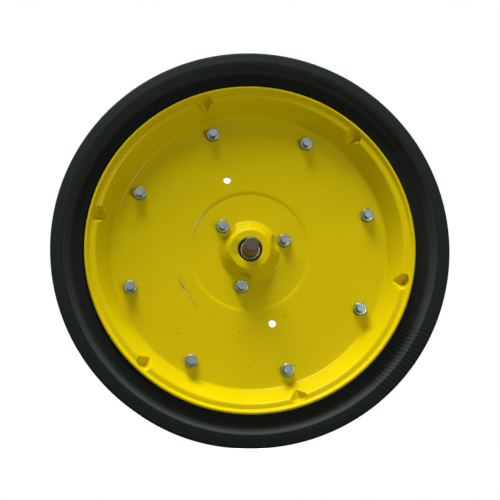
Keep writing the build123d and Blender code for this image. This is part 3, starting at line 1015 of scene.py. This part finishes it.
seal_corners = [
    (SEAL_LIP, SEAL_INSIDE + 0.3),
    (10.6, SEAL_INSIDE + 0.1),
    (SEAL_RIM, SEAL_INSIDE + 0.1),
    (SEAL_RIM, SEAL_OUTSIDE),
    (15.6, SEAL_OUTSIDE),
    (15.2, LIP_GROOVE),
    (12.2, LIP_GROOVE),
    (11.6, SEAL_OUTSIDE),
    (10.4, SEAL_OUTSIDE - 0.1),
    (SEAL_LIP, SEAL_OUTSIDE - 0.4),
]
seal_rounds = [0.0, 0.0, 0.0, 0.25, 0.2, 0.2, 0.2, 0.25, 0.3, 0.0]
for side, node_name in ((-1, "front_seal"), (1, "rear_seal")):
    placed = [(radius, BEARING_MIDDLE + side * place) for radius, place in seal_corners]
    seal_loop = rounded(placed, seal_rounds, [1] * len(placed))
    seal = turn(f"{node_name}_lip", seal_loop, even_steps(48))
    smooth(seal)
    seal.data.materials.append(seal_black)
    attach(seal, "wheel")
    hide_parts(node_name)

RING_HALF = 9.15
RING_BORE = 8.13
RING_MOUTH = 9.05
RING_CHAMFER = 1.1
RING_EASE = 0.3
RING_RADIUS = 9.9
LAND_RADIUS = 12.6
LAND_HALF = 7.35
BALL_CIRCLE_RADIUS = 14.2
GROOVE_RADIUS = 2.828
ROW_MIDDLE = 4.3

groove_points = []
for middle in (-ROW_MIDDLE, ROW_MIDDLE):
    for angle in np.linspace(0, math.pi, 9):
        radius = BALL_CIRCLE_RADIUS - GROOVE_RADIUS * math.sin(angle)
        if radius < LAND_RADIUS:
            groove_points.append((radius, middle - GROOVE_RADIUS * math.cos(angle)))
ring_points = [
    (RING_BORE, RING_HALF - RING_EASE),
    (RING_BORE, RING_CHAMFER - RING_HALF),
    (RING_MOUTH, -RING_HALF),
    (RING_RADIUS - RING_EASE, -RING_HALF),
    (RING_RADIUS, RING_EASE - RING_HALF),
    (RING_RADIUS, -LAND_HALF),
    (LAND_RADIUS, -LAND_HALF),
    *groove_points,
    (LAND_RADIUS, LAND_HALF),
    (RING_RADIUS, LAND_HALF),
    (RING_RADIUS, RING_HALF - RING_EASE),
    (RING_RADIUS - RING_EASE, RING_HALF),
    (RING_BORE + RING_EASE, RING_HALF),
]
ring_loop = [(radius, BEARING_MIDDLE + place, 0) for radius, place in ring_points]
inner_ring = turn("bearing_inner_ring_turned", ring_loop, even_steps(48))
smooth(inner_ring)
inner_ring.data.materials.append(ground_steel)
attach(inner_ring, "axle")
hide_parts("bearing_inner_ring")

# Axle bolt and its washer.
# A 5/8 inch hexagon bolt with a dulled yellow plating. Its threaded end stands out of the
# hub for the arm, and its head and a washer bear on the bearing's inner ring at the back.

AXLE_TIP = -51.5
AXLE_CHAMFER = 1.0
TIP_RADIUS = 6.6
TIP_RING = 3.0
THREAD_RADIUS = 7.7
THREAD_LENGTH = 30.0
THREAD_RINGS = 120
THREAD_END = -20.5
THREAD_DEPTH = 0.75
AXLE_PITCH = 2.31
NECK_RADIUS = 7.0
NECK_START = -20.3
NECK_END = -19.5
SHANK_RADIUS = 7.9375
SHANK_START = -19.1
SHANK_OVERLAP = 1.0
HEAD_SEAT = 5.4
AXLE_HEAD_FLATS = 23.8
AXLE_HEAD_HEIGHT = 10.7
PLATING = [(0.13, 0.09, 0.02, 1), (0.24, 0.17, 0.045, 1)]
CUT_END = [(0.031, 0.022, 0.0125, 1), (0.046, 0.033, 0.0190, 1)]
CUT_END_EDGE = {"From_Min": -0.0498, "From_Max": -0.0504}

thread_start = AXLE_TIP + AXLE_CHAMFER
thread_step = THREAD_LENGTH / THREAD_RINGS
axle_loop = [
    (0.0, AXLE_TIP, 0),
    (TIP_RING, AXLE_TIP, 0),
    (TIP_RADIUS, AXLE_TIP, 0),
    *[(THREAD_RADIUS, thread_start + thread_step * k, 0) for k in range(THREAD_RINGS + 1)],
    (NECK_RADIUS, NECK_START, 0),
    (NECK_RADIUS, NECK_END, 0),
    (SHANK_RADIUS, SHANK_START, 0),
    (SHANK_RADIUS, HEAD_SEAT + SHANK_OVERLAP, 0),
    (0.0, HEAD_SEAT + SHANK_OVERLAP, 0),
]
axle_rod = turn("axle_rod", axle_loop, even_steps(48))
cut_thread(axle_rod, THREAD_RADIUS, thread_start, THREAD_END, AXLE_PITCH, THREAD_DEPTH)
axle_head = hexagon("axle_head", AXLE_HEAD_FLATS, AXLE_HEAD_HEIGHT, edge=0.4)
axle_head.location = (0, HEAD_SEAT * MM, 0)
settle(axle_head, 180, 0, 0)
axle = join([axle_rod, axle_head], "axle_bolt_threaded")
smooth(axle, degrees=30)


def make_axle_finish():
    """Yellow plating gone dull, with a flat brown end face where the bar was cut."""
    material, tree, shader = new_material("dulled_plating")
    marks = place_marks(tree, grain=1200.0, blotch=110.0, speck=500.0, share=0.2)
    blotch = marks.outputs["Blotch"]
    where = add_node(tree, "ShaderNodeTexCoord", (-1300, 500))
    split = add_node(tree, "ShaderNodeSeparateXYZ", (-1100, 500))
    end = add_node(tree, "ShaderNodeMapRange", (-900, 500), **CUT_END_EDGE)
    tree.links.new(where.outputs["Object"], split.inputs["Vector"])
    tree.links.new(split.outputs["Y"], end.inputs["Value"])
    at_end = end.outputs["Result"]
    plated = blend_colours(tree, (-600, 300), *PLATING, blotch)
    brown = blend_colours(tree, (-600, 500), *CUT_END, blotch)
    both = blend_colours(tree, (-400, 400), plated, brown, at_end)
    metallic = spread(tree, (-200, 100), at_end, low=0.75, high=0.0)
    roughness = spread(tree, (-200, -100), blotch, low=0.38, high=0.55)
    tree.links.new(both, shader.inputs["Base Color"])
    tree.links.new(metallic, shader.inputs["Metallic"])
    tree.links.new(roughness, shader.inputs["Roughness"])
    give_bump(tree, shader, marks.outputs["Grain"], strength=0.2, distance=0.0002)
    return material


axle.data.materials.append(make_axle_finish())
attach(axle, "axle")
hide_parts("axle_bolt")

WASHER_BORE = 8.15
WASHER_RADIUS = 13.0
WASHER_FRONT = 2.9

washer_corners = [
    (WASHER_BORE, WASHER_FRONT),
    (WASHER_RADIUS, WASHER_FRONT),
    (WASHER_RADIUS, HEAD_SEAT),
    (WASHER_BORE, HEAD_SEAT),
]
washer_loop = rounded(washer_corners, [0.2, 0.4, 0.4, 0.2], [1] * 4)
washer = turn("axle_washer_plated", washer_loop, even_steps(48))
smooth(washer)
washer.data.materials.append(zinc)
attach(washer, "axle")
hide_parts("axle_washer")

# Dust cap.
# A thin pressed steel cap, painted black, pushed into the rear opening of the rim over the
# bolt's head.

CAP_TOP = 19.1
CAP_RADIUS = 16.47
CAP_END = 3.1
CAP_SHEET = 1.0
BRIM_RADIUS = 20.5
BRIM_REAR = 6.5

cap_black = make_plain("cap_black_paint", (0.012, 0.012, 0.012), metallic=0.0, rough=0.32)
cap_corners = [
    (0.0, CAP_TOP),
    (CAP_RADIUS, CAP_TOP),
    (CAP_RADIUS, BRIM_REAR),
    (BRIM_RADIUS, BRIM_REAR),
    (BRIM_RADIUS, BRIM_REAR - CAP_SHEET),
    (CAP_RADIUS, BRIM_REAR - CAP_SHEET),
    (CAP_RADIUS, CAP_END),
    (CAP_RADIUS - CAP_SHEET, CAP_END),
    (CAP_RADIUS - CAP_SHEET, CAP_TOP - CAP_SHEET),
    (0.0, CAP_TOP - CAP_SHEET),
]
cap_rounds = [0.0, 5.0, 0.8, 0.4, 0.4, 0.0, 0.3, 0.3, 4.0, 0.0]
cap_parts = [2, 2, 1, 1, 1, 1, 1, 2, 2, 1]
cap = turn("dust_cap_pressed", rounded(cap_corners, cap_rounds, cap_parts), even_steps(48))
smooth(cap)
cap.data.materials.append(cap_black)
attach(cap, "wheel")
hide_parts("dust_cap")

# Floor, lights and camera.
# A plain white floor and world, a wide soft light above, a small one beside the camera and
# one behind the wheel, and the camera a little below the hub, as in the photograph.

FLOOR = -0.2033
FLOOR_SIZE = 12
FLOOR_BOUNCE = (0.15, 0.15, 0.15, 1)
FLOOR_ROUGH = 0.9
FLOOR_GLOW = 0.90
FLOOR_SEEN = (0.6, 0.6, 0.6, 1)
WHITE = (1, 1, 1, 1)
ROOM_STRENGTH = 0.09
BACKDROP_STRENGTH = 1.0


def mix_shaders(material, place, share, first, second):
    """One shader where the share is 0 and another where it is 1."""
    mix = add_node(material, "ShaderNodeMixShader", place)
    for socket, output in zip(mix.inputs, (share, first, second)):
        material.links.new(output, socket)
    return mix.outputs[0]


bpy.ops.object.select_all(action="DESELECT")
bpy.ops.mesh.primitive_plane_add(size=FLOOR_SIZE, location=(0, 0, FLOOR))
floor = bpy.context.object
floor.name = "floor"
floor_paint, floor_tree, floor_shader = new_material(
    "floor_white", Base_Color=FLOOR_BOUNCE, Roughness=FLOOR_ROUGH
)
floor_glow = add_node(floor_tree, "ShaderNodeEmission", (0, -300), Strength=FLOOR_GLOW)
floor_soft = add_node(floor_tree, "ShaderNodeBsdfDiffuse", (0, -500), Color=FLOOR_SEEN)
floor_sum = add_node(floor_tree, "ShaderNodeAddShader", (300, 0))
floor_tree.links.new(floor_soft.outputs[0], floor_sum.inputs[0])
floor_tree.links.new(floor_glow.outputs[0], floor_sum.inputs[1])
floor_path = add_node(floor_tree, "ShaderNodeLightPath", (-300, 300))
floor_seen = mix_shaders(
    floor_tree,
    (500, 100),
    floor_path.outputs["Is Camera Ray"],
    floor_shader.outputs[0],
    floor_sum.outputs[0],
)
floor_tree.links.new(floor_seen, floor_tree.nodes["Material Output"].inputs["Surface"])
floor.data.materials.append(floor_paint)

world = bpy.data.worlds.new("studio")
bpy.context.scene.world = world
world.use_nodes = True
world_tree = world.node_tree
room = world_tree.nodes["Background"]
room.inputs["Color"].default_value = WHITE
room.inputs["Strength"].default_value = ROOM_STRENGTH
backdrop = add_node(world_tree, "ShaderNodeBackground", (0, -200), Color=WHITE)
backdrop.inputs["Strength"].default_value = BACKDROP_STRENGTH
path = add_node(world_tree, "ShaderNodeLightPath", (-600, 300))
seen_ray = path.outputs["Is Camera Ray"]
through_ray = path.outputs["Is Transmission Ray"]
mirrored_ray = path.outputs["Is Glossy Ray"]
either = calculate(world_tree, (-300, 300), "MAXIMUM", seen_ray, through_ray)
any_of_them = calculate(world_tree, (0, 300), "MAXIMUM", either, mirrored_ray)
around = mix_shaders(world_tree, (300, 0), any_of_them, room.outputs[0], backdrop.outputs[0])
world_tree.links.new(around, world_tree.nodes["World Output"].inputs["Surface"])


def area_light(name, place, aim, size, power):
    """A square soft light at a place, turned to an aim point."""
    data = bpy.data.lights.new(name, "AREA")
    data.size = size
    data.energy = power
    lamp = bpy.data.objects.new(name, data)
    bpy.context.scene.collection.objects.link(lamp)
    lamp.location = place
    lamp.rotation_euler = (Vector(aim) - Vector(place)).to_track_quat("-Z", "Y").to_euler()
    return lamp


DISH_MIDDLE = (0, -0.03, 0)
REAR_MIDDLE = (0, 0.03, 0)
area_light("light_above", (-0.50, -0.63, 2.47), DISH_MIDDLE, size=1.6, power=154)
area_light("light_beside", (0.75, -1.6, -0.10), DISH_MIDDLE, size=0.18, power=7.5)
area_light("light_behind", (0.9, 2.4, 1.3), REAR_MIDDLE, size=1.5, power=70)

TILT = math.radians(8.9)
SWING = math.radians(2.8)
DISTANCE = 1.31
AIM = (0.0, -0.0332, 0.0)
LENS = 92.5
SENSOR = 36
SHIFT_X = -0.002
SHIFT_Y = -0.006
NEAREST = 0.02
FARTHEST = 50

look = Vector(
    (math.sin(SWING) * math.cos(TILT), math.cos(SWING) * math.cos(TILT), math.sin(TILT))
)
camera_data = bpy.data.cameras.new("camera")
camera_data.sensor_width = SENSOR
camera_data.lens = LENS
camera_data.shift_x = SHIFT_X
camera_data.shift_y = SHIFT_Y
camera_data.clip_start = NEAREST
camera_data.clip_end = FARTHEST
camera = bpy.data.objects.new("camera", camera_data)
bpy.context.scene.collection.objects.link(camera)
camera.location = Vector(AIM) - look * DISTANCE
camera.rotation_euler = look.to_track_quat("-Z", "Y").to_euler()
bpy.context.scene.camera = camera
bpy.context.scene.view_settings.view_transform = "Standard"
